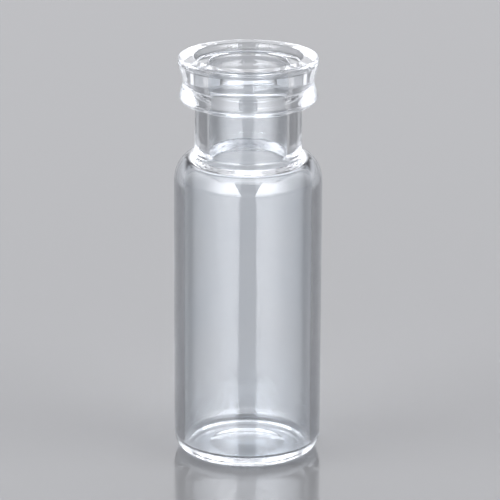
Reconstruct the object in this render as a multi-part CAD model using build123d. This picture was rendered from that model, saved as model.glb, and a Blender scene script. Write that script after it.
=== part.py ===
"""Clear glass sample vial, made from one piece of glass tube, standing open on its foot.

A round body narrows over a rounded shoulder to a short neck. The neck ends in a thick
crown for an 11 mm cap: a lower bead, a shallow groove that the cap snaps or crimps into,
and a lip with a flat top face that the cap's liner seals on. The mouth is a shallow cup
that leads into a straight bore. Flame forming leaves a soft heel, a thin base that is
hollowed a little underneath, and a floor that dips a little in the middle.

Millimetres. The axis is Z and the foot stands on Z = 0.
"""
from build123d import *
from math import acos, degrees, sin
import os

# Body
vial_height = 32.0
body_radius = 5.8
body_wall = 0.8

# Base
foot_width = 1.8
heel_across = 1.0
heel_rise = 1.57
hollow_rise = 0.13
base_glass = 0.45
floor_dip = 0.06
floor_corner_across = 1.4
floor_corner_rise = 0.45

# Shoulder
shoulder_across = 1.79
shoulder_rise = 2.28
shoulder_glass = 0.88
inner_shoulder_across = 0.9
inner_shoulder_rise = 1.1
neck_root_round = 0.3

# Neck
neck_radius = 4.175
neck_length = 3.96
bore_radius = 3.05
bore_flare = 0.3

# Crown, measured down from the top face
crown_height = 3.76
bead_radius = 5.51
bead_slope_rise = 0.2
bead_round = 0.5
groove_radius = 5.07
groove_drop = 1.94
groove_round = 1.15
lip_radius = 5.48
lip_foot_drop = 0.5
lip_foot_round = 0.5
lip_round = 0.25

# Mouth
mouth_radius = 4.24
mouth_rim_round = 0.12
mouth_taper = 0.22
mouth_depth = 0.48
mouth_corner_round = 0.28
ledge_fall = 0.08
bore_rim_round = 0.25

# Heights worked out from the sizes above
crown_underside = vial_height - crown_height
shoulder_top = crown_underside - neck_length
body_top = shoulder_top - shoulder_rise
ceiling = shoulder_top - shoulder_glass
inner_body_top = ceiling - inner_shoulder_rise
flare_top = ceiling + bore_flare
ledge_height = vial_height - mouth_depth
floor_centre = hollow_rise + base_glass
floor_edge = floor_centre + floor_dip
floor_corner_top = floor_edge + floor_corner_rise

# Radii worked out from the sizes above
inner_radius = body_radius - body_wall
floor_radius = inner_radius - floor_corner_across
foot_outer = body_radius - heel_across
foot_inner = foot_outer - foot_width
shoulder_centre = body_radius - shoulder_across
inner_shoulder_centre = inner_radius - inner_shoulder_across
flare_radius = bore_radius + bore_flare

# The shoulder is an ellipse, cut off where the neck stands on it
neck_angle = acos((neck_radius - shoulder_centre) / shoulder_across)
neck_foot = (neck_radius, body_top + shoulder_rise * sin(neck_angle))


def base_and_body():
    """Outside of the section, from under the base up to the foot of the neck."""
    TangentArc((0, hollow_rise), (foot_inner, 0), tangent=(1, 0))
    Line((foot_inner, 0), (foot_outer, 0))
    EllipticalCenterArc((foot_outer, heel_rise), heel_across, heel_rise, 270, arc_size=90)
    Line((body_radius, heel_rise), (body_radius, body_top))
    shoulder = (shoulder_centre, body_top)
    EllipticalCenterArc(shoulder, shoulder_across, shoulder_rise, 0, arc_size=degrees(neck_angle))


def neck_crown_and_mouth():
    """Up the neck, round the crown, over the lip and down the mouth and bore."""
    corners = [
        ((neck_radius, crown_underside), neck_root_round),
        ((bead_radius, crown_underside + bead_slope_rise), bead_round),
        ((groove_radius, vial_height - groove_drop), groove_round),
        ((lip_radius, vial_height - lip_foot_drop), lip_foot_round),
        ((lip_radius, vial_height), lip_round),
        ((mouth_radius, vial_height), mouth_rim_round),
        ((mouth_radius - mouth_taper, ledge_height), mouth_corner_round),
        ((bore_radius, ledge_height - ledge_fall), bore_rim_round),
    ]
    points = [neck_foot] + [point for point, corner_round in corners] + [(bore_radius, flare_top)]
    FilletPolyline(points, radius=[corner_round for point, corner_round in corners])


def cavity():
    """Inside of the section, from the bore's lower end down to the middle of the floor."""
    CenterArc((flare_radius, flare_top), bore_flare, 180, 90)
    Line((flare_radius, ceiling), (inner_shoulder_centre, ceiling))
    inner_shoulder = (inner_shoulder_centre, inner_body_top)
    EllipticalCenterArc(inner_shoulder, inner_shoulder_across, inner_shoulder_rise, 90, arc_size=-90)
    Line((inner_radius, inner_body_top), (inner_radius, floor_corner_top))
    floor_corner = (floor_radius, floor_corner_top)
    EllipticalCenterArc(floor_corner, floor_corner_across, floor_corner_rise, 0, arc_size=-90)
    TangentArc((0, floor_centre), (floor_radius, floor_edge), tangent=(1, 0))


def section():
    """Half of the vial's section, in the plane of X and Z."""
    with BuildSketch(Plane.XZ) as half:
        with BuildLine():
            base_and_body()
            neck_crown_and_mouth()
            cavity()
            Line((0, floor_centre), (0, hollow_rise))
        make_face()
    return half.sketch


def neck_root(glass):
    """The sharp circle where the neck stands on the shoulder."""
    root_height = neck_foot[1]
    circles = glass.edges().filter_by(GeomType.CIRCLE)
    return circles.sort_by(lambda circle: abs(circle.arc_center.Z - root_height))[0]


vial = revolve(section(), Axis.Z)
vial = fillet(neck_root(vial), neck_root_round)

os.makedirs("parts", exist_ok=True)
export_step(vial, "parts/vial.step")

print("volume", round(vial.volume, 2), "mm3; box", vial.bounding_box())
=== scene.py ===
"""Looks of the clear glass sample vial: finely lathed glass, pale floor, soft studio light."""
from math import acos, atan2, cos, degrees, hypot, pi, radians, sin, sqrt, tan

import bpy
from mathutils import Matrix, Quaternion, Vector, noise


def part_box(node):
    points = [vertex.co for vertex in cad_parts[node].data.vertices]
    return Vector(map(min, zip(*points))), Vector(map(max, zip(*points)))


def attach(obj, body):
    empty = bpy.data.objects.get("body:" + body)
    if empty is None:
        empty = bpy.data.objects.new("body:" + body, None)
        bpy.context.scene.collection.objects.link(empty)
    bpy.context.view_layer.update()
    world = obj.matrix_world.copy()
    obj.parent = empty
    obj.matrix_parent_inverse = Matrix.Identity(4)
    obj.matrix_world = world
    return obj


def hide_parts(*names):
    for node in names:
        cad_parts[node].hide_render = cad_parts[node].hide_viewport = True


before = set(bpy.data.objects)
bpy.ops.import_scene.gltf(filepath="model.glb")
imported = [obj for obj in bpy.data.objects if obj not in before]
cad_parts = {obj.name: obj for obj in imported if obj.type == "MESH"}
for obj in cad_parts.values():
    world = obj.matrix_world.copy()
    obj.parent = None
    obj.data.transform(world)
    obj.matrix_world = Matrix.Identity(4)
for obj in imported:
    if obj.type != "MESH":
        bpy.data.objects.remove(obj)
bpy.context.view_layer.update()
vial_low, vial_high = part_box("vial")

MM = 0.001

# Height and outer radius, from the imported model, and the wall, in millimetres
vial_height = (vial_high.z - vial_low.z) / MM
body_radius = (vial_high.x - vial_low.x) / 2 / MM
body_wall = 0.8

# Base
foot_width = 1.8
heel_across = 1.0
heel_rise = 1.57
hollow_rise = 0.13
base_glass = 0.45
floor_dip = 0.06
floor_corner_across = 1.4
floor_corner_rise = 0.45

# Shoulder and neck
shoulder_across = 1.79
shoulder_rise = 2.28
shoulder_glass = 0.88
inner_shoulder_across = 0.95
inner_shoulder_rise = 1.65
neck_root_round = 0.3
neck_radius = 4.175
neck_length = 3.96
bore_radius = 3.05
bore_flare = 1.0

# Crown and mouth, with drops measured down from the top face
crown_height = 3.76
bead_radius = 5.51
bead_slope_rise = 0.2
bead_round = 0.5
groove_radius = 5.07
groove_drop = 1.94
groove_round = 1.15
lip_radius = 5.48
lip_foot_drop = 0.5
lip_foot_round = 0.5
lip_round = 0.25
mouth_radius = 4.24
mouth_rim_round = 0.12
mouth_taper = 0.22
mouth_depth = 0.48
mouth_corner_round = 0.28
ledge_fall = 0.08
bore_rim_round = 0.25

# Glass
glass_index = 1.5
depth_colour = (0.80, 0.86, 0.92)
depth_density = 2.5
tint_clear = (0.97, 0.985, 1.0)
tint_deep = (0.94, 0.97, 1.0)
tint_scale = 160
tint_detail = 2
tint_spread = (0.3, 0.7)
body_roughness = 0.0
crown_roughness = 0.04
tooling_scale = 420
tooling_detail = 3
tooling_spread = (0.35, 0.7)
least_tooling = 0.2
tooling_rise = 1.0
streak_scale = 500
streak_detail = 2
streak_stretch = 5
streak_strength = 0.5
streak_depth = 0.015

# How finely the glass is divided: angles in degrees, lengths in millimetres
segments = 210
arc_step = 6.0
wide_arc_step = 3.0
wide_arc = 0.8
fewest_arc_steps = 4
dish_step = 0.15
body_step = 0.8
neck_step = 0.18
neck_step_lead = 1.0
line_end_step = 0.03
shortest_line = 0.3
same_point = 1e-5

# Rounds of the search for the neck's foot, and degrees turned for each millimetre it is off
foot_search_rounds = 60
foot_search_turn = 20

# Unevenness of the glass, in millimetres: how deep each kind goes
tool_marks = 0.010
crown_wobble = 0.012
draw_lines = 0.0015

# How quickly each kind of unevenness changes, round the axis and along it
mark_scale = (1.4, 2.0)
fine_mark_scale = (3.1, 2.8)
fine_mark_share = 0.6
wobble_scale = (0.9, 0.3)
wobble_shift = (7, 0, 0)
line_scale = (14, 0.05)
line_shift = (0, 11, 0)

# Rises above the shoulder between which the body's draw lines give way to tool marks
marks_from = 0.4
marks_to = 1.8

# Heights and radii worked out from the sizes above
crown_underside = vial_height - crown_height
shoulder_top = crown_underside - neck_length
body_top = shoulder_top - shoulder_rise
ceiling = shoulder_top - shoulder_glass
inner_body_top = ceiling - inner_shoulder_rise
flare_top = ceiling + bore_flare
ledge_height = vial_height - mouth_depth
floor_centre = hollow_rise + base_glass
floor_edge = floor_centre + floor_dip
floor_corner_top = floor_edge + floor_corner_rise
inner_radius = body_radius - body_wall
floor_radius = inner_radius - floor_corner_across
foot_outer = body_radius - heel_across
foot_inner = foot_outer - foot_width
shoulder_centre = body_radius - shoulder_across
flare_radius = bore_radius + bore_flare
neck_angle = degrees(acos((neck_radius - shoulder_centre) / shoulder_across))


def arc(centre, across, rise, start, turn):
    """Points along part of an ellipse, with angles in degrees."""
    step_angle = wide_arc_step if max(across, rise) > wide_arc else arc_step
    steps = max(fewest_arc_steps, round(abs(turn) / step_angle))
    angles = [radians(start + turn * step / steps) for step in range(steps + 1)]
    return [(centre[0] + across * cos(angle), centre[1] + rise * sin(angle)) for angle in angles]


def dish(centre_height, edge_radius, edge_height):
    """A shallow bowl or dome across the axis, from its middle out to its edge."""
    rise = edge_height - centre_height
    bend = (edge_radius ** 2 + rise ** 2) / (2 * rise)
    steps = round(edge_radius / dish_step)
    radii = [edge_radius * step / steps for step in range(steps + 1)]
    side = 1 if bend > 0 else -1
    return [(radius, centre_height + bend - side * sqrt(bend ** 2 - radius ** 2)) for radius in radii]


def corner(before, point, after, radius):
    """The rounding of one corner of the outline."""
    before, point, after = Vector(before), Vector(point), Vector(after)
    inward = (before - point).normalized()
    outward = (after - point).normalized()
    half = inward.angle(outward) / 2
    centre = point + (inward + outward).normalized() * radius / sin(half)
    start = point + inward * radius / tan(half) - centre
    end = point + outward * radius / tan(half) - centre
    first = degrees(atan2(start.y, start.x))
    turn = (degrees(atan2(end.y, end.x)) - first + 180) % 360 - 180
    return arc(centre, radius, radius, first, turn)


def rounded(points, radii):
    """A run of straight lines with rounded corners."""
    run = [points[0]]
    for before, point, after, radius in zip(points, points[1:], points[2:], radii):
        run += corner(before, point, after, radius)
    return run + [points[-1]]


def neck_foot():
    """The angle on the shoulder's ellipse where the rounding at the neck's foot starts."""
    angle = neck_angle
    centre = neck_radius + neck_root_round
    for _ in range(foot_search_rounds):
        across = shoulder_across + neck_root_round * shoulder_rise / hypot(
            shoulder_rise * cos(radians(angle)), shoulder_across * sin(radians(angle)))
        reach = shoulder_centre + across * cos(radians(angle))
        angle += (reach - centre) * foot_search_turn
    return angle


def crown():
    """Corners from the neck to the bore, each with the radius of its rounding."""
    return [
        ((neck_radius, crown_underside), neck_root_round),
        ((bead_radius, crown_underside + bead_slope_rise), bead_round),
        ((groove_radius, vial_height - groove_drop), groove_round),
        ((lip_radius, vial_height - lip_foot_drop), lip_foot_round),
        ((lip_radius, vial_height), lip_round),
        ((mouth_radius, vial_height), mouth_rim_round),
        ((mouth_radius - mouth_taper, ledge_height), mouth_corner_round),
        ((bore_radius, ledge_height - ledge_fall), bore_rim_round),
    ]


def outline():
    """The section's edge, from the middle of the underside round to the middle of the floor."""
    angle = neck_foot()
    shoulder = arc((shoulder_centre, body_top), shoulder_across, shoulder_rise, 0, angle)
    slope = degrees(atan2(shoulder_rise * cos(radians(angle)), -shoulder_across * sin(radians(angle))))
    centre = (neck_radius + neck_root_round,
              shoulder[-1][1] + neck_root_round * sin(radians(slope - 90)))
    root = arc(centre, neck_root_round, neck_root_round, slope + 90, 90 - slope)
    corners = crown()
    points = [root[-1]] + [point for point, radius in corners] + [(bore_radius, flare_top)]
    edge = dish(hollow_rise, foot_inner, 0)
    edge += arc((foot_outer, heel_rise), heel_across, heel_rise, -90, 90)
    edge += shoulder + root
    edge += rounded(points, [radius for point, radius in corners])
    edge += arc((flare_radius, flare_top), bore_flare, bore_flare, 180, 90)
    edge += arc((inner_radius - inner_shoulder_across, inner_body_top),
                inner_shoulder_across, inner_shoulder_rise, 90, -90)
    edge += arc((floor_radius, floor_corner_top), floor_corner_across, floor_corner_rise, 0, -90)
    edge += reversed(dish(floor_centre, floor_radius, floor_edge))
    return edge


def divided(edge):
    """The outline with long straight runs divided, finely at their ends."""
    run = [edge[0]]
    for start, end in zip(edge, edge[1:]):
        length = hypot(end[0] - start[0], end[1] - start[1])
        if length < same_point:
            continue
        places = [1.0]
        if length > shortest_line:
            on_body = max(start[1], end[1]) < shoulder_top - neck_step_lead
            line_step = body_step if on_body else neck_step
            pieces = max(1, round((length - 2 * line_end_step) / line_step))
            share = line_end_step / length
            places = [share + (1 - 2 * share) * piece / pieces for piece in range(pieces + 1)] + [1.0]
        run += [(start[0] + (end[0] - start[0]) * place, start[1] + (end[1] - start[1]) * place)
                for place in places]
    return run


def blend(value, low, high):
    """A smooth step from 0 at low to 1 at high."""
    share = min(1, max(0, (value - low) / (high - low)))
    return share * share * (3 - 2 * share)


def ripple(height, turn, scale, shift=(0, 0, 0)):
    """Smooth noise over the vial's surface, between about -1 and 1."""
    around = Vector((cos(turn), sin(turn), 0))
    along = Vector((0, 0, height))
    return noise.noise(around * scale[0] + along * scale[1] + Vector(shift))


def unevenness(height, turn):
    """How far the real glass falls short of the perfect form, as flame and tools leave it."""
    formed = blend(height, shoulder_top + marks_from, shoulder_top + marks_to)
    marks = ripple(height, turn, mark_scale) + fine_mark_share * ripple(height, turn, fine_mark_scale)
    wobble = ripple(height, turn, wobble_scale, wobble_shift)
    lines = ripple(height, turn, line_scale, line_shift)
    depth = formed * (tool_marks * (1 + marks / (1 + fine_mark_share)) + crown_wobble * (1 + wobble))
    return (depth + (1 - formed) * draw_lines * (1 + lines)) / 2


def lathe(name, edge):
    """A closed mesh turned from an outline whose two ends lie on the axis."""
    rings = edge[1:-1]
    turns = [2 * pi * turn / segments for turn in range(segments)]
    points = []
    for before, (radius, height), after in zip(edge, rings, edge[2:]):
        slope = Vector((after[0] - before[0], after[1] - before[1])).normalized()
        for turn in turns:
            depth = unevenness(height, turn)
            reach = (radius - slope.y * depth) * MM
            points.append((reach * cos(turn), reach * sin(turn), (height + slope.x * depth) * MM))
    low = len(points)
    high = low + 1
    points += [(0, 0, edge[0][1] * MM), (0, 0, edge[-1][1] * MM)]
    faces = []
    for turn in range(segments):
        following = (turn + 1) % segments
        faces.append((low, following, turn))
        last = (len(rings) - 1) * segments
        faces.append((high, last + turn, last + following))
        for ring in range(0, last, segments):
            above = ring + segments
            faces.append((ring + turn, ring + following, above + following, above + turn))
    mesh = bpy.data.meshes.new(name)
    mesh.from_pydata(points, [], faces)
    mesh.shade_smooth()
    piece = bpy.data.objects.new(name, mesh)
    bpy.context.scene.collection.objects.link(piece)
    return piece


def clear_glass():
    """Clear glass: faint cool tint, fire-polished body, crown a little less smooth from tooling."""
    material = bpy.data.materials.new("clear_glass")
    material.use_nodes = True
    tree = material.node_tree
    shader = tree.nodes["Principled BSDF"]
    shader.inputs["IOR"].default_value = glass_index
    shader.inputs["Transmission Weight"].default_value = 1.0

    def node(kind, **settings):
        made = tree.nodes.new(kind)
        for name, value in settings.items():
            setattr(made, name, value)
        return made

    def noise_texture(scale, detail, stretch=1):
        texture = node("ShaderNodeTexNoise")
        texture.inputs["Scale"].default_value = scale
        texture.inputs["Detail"].default_value = detail
        squeeze = node("ShaderNodeMapping")
        squeeze.inputs["Scale"].default_value = (1, 1, stretch)
        tree.links.new(place.outputs["Object"], squeeze.inputs["Vector"])
        tree.links.new(squeeze.outputs["Vector"], texture.inputs["Vector"])
        return texture.outputs["Fac"]

    def ranged(value, given, wanted):
        spread = node("ShaderNodeMapRange")
        spread.inputs["From Min"].default_value, spread.inputs["From Max"].default_value = given
        spread.inputs["To Min"].default_value, spread.inputs["To Max"].default_value = wanted
        tree.links.new(value, spread.inputs["Value"])
        return spread.outputs["Result"]

    def product(first, second):
        multiply = node("ShaderNodeMath", operation="MULTIPLY")
        tree.links.new(first, multiply.inputs[0])
        tree.links.new(second, multiply.inputs[1])
        return multiply.outputs[0]

    place = node("ShaderNodeTexCoord")
    split = node("ShaderNodeSeparateXYZ")
    tree.links.new(place.outputs["Object"], split.inputs[0])
    rise = (shoulder_top * MM, (shoulder_top + tooling_rise) * MM)
    formed = ranged(split.outputs["Z"], rise, (0, 1))
    tooling = ranged(noise_texture(tooling_scale, tooling_detail), tooling_spread, (least_tooling, 1))
    roughness = ranged(product(formed, tooling), (0, 1), (body_roughness, crown_roughness))
    tree.links.new(roughness, shader.inputs["Roughness"])

    # A colour mix has its two colours at inputs 6 and 7, and its result at output 2
    tint = node("ShaderNodeMix", data_type="RGBA")
    tint.inputs[6].default_value = (*tint_clear, 1)
    tint.inputs[7].default_value = (*tint_deep, 1)
    tree.links.new(ranged(noise_texture(tint_scale, tint_detail), tint_spread, (0, 1)), tint.inputs[0])
    tree.links.new(tint.outputs[2], shader.inputs["Base Color"])

    streaks = node("ShaderNodeBump")
    streaks.inputs["Strength"].default_value = streak_strength
    streaks.inputs["Distance"].default_value = streak_depth * MM
    ripples = noise_texture(streak_scale, streak_detail, streak_stretch)
    tree.links.new(product(formed, ripples), streaks.inputs["Height"])
    tree.links.new(streaks.outputs["Normal"], shader.inputs["Normal"])

    depth = node("ShaderNodeVolumeAbsorption")
    depth.inputs["Color"].default_value = (*depth_colour, 1)
    depth.inputs["Density"].default_value = depth_density
    tree.links.new(depth.outputs[0], tree.nodes["Material Output"].inputs["Volume"])
    return material


# Floor and sky, with lengths in metres; the sky changes between two rises above the horizon
floor_colour = (0.44, 0.445, 0.46)
floor_roughness = 0.12
floor_half = 1.6
sky_high = (0.10, 0.10, 0.11)
sky_low = (0.55, 0.56, 0.59)
sky_low_top = 0.10
sky_high_foot = 0.28

# Upright softboxes: each pair of powers is for the front and for the sides
panel_colour = (0.97, 0.97, 1.0)
panel_steps = 12
panel_depth = 0.5
panel_foot = 0.04
panel_height = 0.55
inner_foot = 0.10
inner_head = 0.265
outer_foot = 0.42
outer_head = 0.60
rear_depth = 0.42
low_power = (6.5, 0.5)
high_power = (8.5, 2.0)
side_fade = (30, 85)

# Overhead softbox
top_steps = 36
top_height = 0.5
top_reach = 0.48
top_fade = (0.12, 0.36)
top_rear = 0.35
top_power = 4.0
ceiling_power = 0.8

# Pale card behind the vial, with its power at the foot and at the head
card_depth = 0.5
card_foot = 0.03
card_head = 0.30
card_plain = 0.07
card_edge = 0.15
card_power = (1.0, 1.7)

# Lamps for the floor, in metres and watts
side_lamp = (0.5, -0.2, 0.45)
side_lamp_size = 0.5
top_lamp = (0.0, 0.15, 0.7)
top_lamp_size = 0.6
lamp_power = 1.5


def studio_floor():
    """The plain pale table top, glossy enough to mirror the softboxes softly."""
    half = floor_half
    corners = [(-half, -half, 0), (half, -half, 0), (half, half, 0), (-half, half, 0)]
    mesh = bpy.data.meshes.new("floor")
    mesh.from_pydata(corners, [], [(0, 1, 2, 3)])
    material = bpy.data.materials.new("floor")
    material.use_nodes = True
    shader = material.node_tree.nodes["Principled BSDF"]
    shader.inputs["Base Color"].default_value = (*floor_colour, 1)
    shader.inputs["Roughness"].default_value = floor_roughness
    mesh.materials.append(material)
    piece = bpy.data.objects.new("floor", mesh)
    bpy.context.scene.collection.objects.link(piece)


def glow():
    """The softboxes' light, with its strength read from the mesh's own points."""
    material = bpy.data.materials.new("glow")
    material.use_nodes = True
    nodes = material.node_tree.nodes
    nodes.clear()
    power = nodes.new("ShaderNodeAttribute")
    power.attribute_name = "power"
    light = nodes.new("ShaderNodeEmission")
    light.inputs["Color"].default_value = (*panel_colour, 1)
    output = nodes.new("ShaderNodeOutputMaterial")
    material.node_tree.links.new(power.outputs["Fac"], light.inputs["Strength"])
    material.node_tree.links.new(light.outputs[0], output.inputs["Surface"])
    return material


def glowing(name, places, row, powers):
    """A softbox with a power at each point, hidden from the camera and from plain surfaces."""
    faces = [(first, first + 1, first + row + 1, first + row)
             for first in range(len(places) - row) if (first + 1) % row]
    mesh = bpy.data.meshes.new(name)
    mesh.from_pydata(places, [], faces)
    power = mesh.attributes.new("power", "FLOAT", "POINT")
    power.data.foreach_set("value", powers)
    mesh.materials.append(bpy.data.materials.get("glow") or glow())
    piece = bpy.data.objects.new(name, mesh)
    bpy.context.scene.collection.objects.link(piece)
    piece.visible_camera = False
    piece.visible_diffuse = False
    piece.visible_shadow = False


def mixed(values, across, up):
    """A value inside a four-cornered sheet, from the values at its corners."""
    low = values[0] * (1 - across) + values[1] * across
    high = values[3] * (1 - across) + values[2] * across
    return low * (1 - up) + high * up


def wall_power(x, y, z):
    """Power of the upright softboxes: strong in front, weak at the sides, and more higher up."""
    side = blend(degrees(atan2(abs(x), -y)), *side_fade)
    low = low_power[0] + (low_power[1] - low_power[0]) * side
    high = high_power[0] + (high_power[1] - high_power[0]) * side
    return low + (high - low) * z / panel_height


def panel(name, corners, powers=None):
    """A four-cornered softbox whose glow blends between its corners, or follows wall_power."""
    shares = [(across / panel_steps, up / panel_steps)
              for up in range(panel_steps + 1) for across in range(panel_steps + 1)]
    corners = [Vector(corner) for corner in corners]
    places = [mixed(corners, *share) for share in shares]
    if powers:
        glows = [mixed(powers, *share) for share in shares]
    else:
        glows = [wall_power(*place) for place in places]
    glowing(name, places, panel_steps + 1, glows)


def top_light():
    """The overhead softbox: strong along its front, fading towards its middle and rear."""
    length = top_rear + top_reach
    places = [(top_reach * (2 * across / top_steps - 1), length * up / top_steps - top_reach, top_height)
              for up in range(top_steps + 1) for across in range(top_steps + 1)]
    powers = [ceiling_power + (top_power - ceiling_power) * blend(-y, *top_fade)
              for x, y, z in places]
    glowing("top", places, top_steps + 1, powers)


def studio_panels():
    """A softbox on each side of the camera, one along each side of the room, and one overhead."""
    for name, side in (("right", 1), ("left", -1)):
        inner = (side * inner_foot, -panel_depth, panel_foot)
        outer = (side * outer_foot, -panel_depth, panel_foot)
        inner_top = (side * inner_head, -panel_depth, panel_height)
        outer_top = (side * outer_head, -panel_depth, panel_height)
        rear = (side * outer_head, rear_depth, panel_foot)
        rear_top = (side * outer_head, rear_depth, panel_height)
        panel(f"{name}_front", (inner, outer, outer_top, inner_top))
        panel(f"{name}_side", (outer, rear, rear_top, outer_top))
    top_light()


def rear_card():
    """A soft pale card behind the vial, which the glossy floor mirrors."""
    low, high = card_power
    parts = (
        ("card", -card_plain, card_plain, 1),
        ("card_right", card_plain, card_edge, 0),
        ("card_left", -card_plain, -card_edge, 0),
    )
    for name, near, far, fade in parts:
        panel(name, ((near, card_depth, card_foot), (far, card_depth, card_foot),
                     (far, card_depth, card_head), (near, card_depth, card_head)),
              (low, low * fade, high * fade, high))


def studio_sky():
    """A pale band round the horizon and a dim room above it; plain pale where seen directly."""
    world = bpy.data.worlds.new("studio")
    bpy.context.scene.world = world
    world.use_nodes = True
    tree = world.node_tree
    nodes = tree.nodes
    place = nodes.new("ShaderNodeTexCoord")
    split = nodes.new("ShaderNodeSeparateXYZ")
    rise = nodes.new("ShaderNodeMapRange")
    rise.interpolation_type = "SMOOTHSTEP"
    rise.inputs["From Min"].default_value = sky_low_top
    rise.inputs["From Max"].default_value = sky_high_foot
    room = nodes.new("ShaderNodeMix")
    room.data_type = "RGBA"
    room.inputs[6].default_value = (*sky_low, 1)
    room.inputs[7].default_value = (*sky_high, 1)
    seen = nodes.new("ShaderNodeMix")
    seen.data_type = "RGBA"
    seen.inputs[7].default_value = (*sky_low, 1)
    path = nodes.new("ShaderNodeLightPath")
    tree.links.new(place.outputs["Generated"], split.inputs[0])
    tree.links.new(split.outputs["Z"], rise.inputs["Value"])
    tree.links.new(rise.outputs["Result"], room.inputs[0])
    tree.links.new(room.outputs[2], seen.inputs[6])
    tree.links.new(path.outputs["Is Camera Ray"], seen.inputs[0])
    tree.links.new(seen.outputs[2], nodes["Background"].inputs["Color"])


def lamp(name, place, size):
    """A wide lamp aimed at the vial's foot, kept out of what gloss and glass show."""
    light = bpy.data.lights.new(name, "AREA")
    light.shape = "RECTANGLE"
    light.size = size
    light.size_y = size
    light.energy = lamp_power
    piece = bpy.data.objects.new(name, light)
    piece.location = place
    piece.rotation_euler = (-Vector(place)).to_track_quat("-Z", "Y").to_euler()
    piece.visible_glossy = False
    piece.visible_transmission = False
    bpy.context.scene.collection.objects.link(piece)


def studio_lamps():
    """One soft lamp on each side and one overhead."""
    side, depth, height = side_lamp
    lamp("lamp_left", (-side, depth, height), side_lamp_size)
    lamp("lamp_right", (side, depth, height), side_lamp_size)
    lamp("lamp_top", top_lamp, top_lamp_size)


# Camera, in degrees and metres, with the lens in millimetres and the offset as a share of the frame
camera_elevation = 17.2
camera_distance = 0.2708
camera_target = 0.01628
camera_lens = 248.3
camera_roll = 0.22
frame_offset = 2.2 / 500

# Bounces of light, enough for the many layers of glass
light_bounces = 96


def camera():
    """The camera at the photograph's viewing angle."""
    data = bpy.data.cameras.new("camera")
    data.lens = camera_lens
    data.shift_x = frame_offset
    piece = bpy.data.objects.new("camera", data)
    elevation = radians(camera_elevation)
    target = Vector((0, 0, camera_target))
    piece.location = target + camera_distance * Vector((0, -cos(elevation), sin(elevation)))
    aim = (target - piece.location).to_track_quat("-Z", "Y")
    piece.rotation_euler = (aim @ Quaternion((0, 0, 1), radians(camera_roll))).to_euler()
    bpy.context.scene.collection.objects.link(piece)
    bpy.context.scene.camera = piece


vial = lathe("vial_glass", divided(outline()))
vial.data.materials.append(clear_glass())
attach(vial, "root")
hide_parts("vial")

studio_floor()
studio_sky()
studio_panels()
rear_card()
studio_lamps()
camera()

scene = bpy.context.scene
scene.view_settings.view_transform = "Standard"
scene.cycles.max_bounces = light_bounces
scene.cycles.transmission_bounces = light_bounces
scene.cycles.glossy_bounces = light_bounces
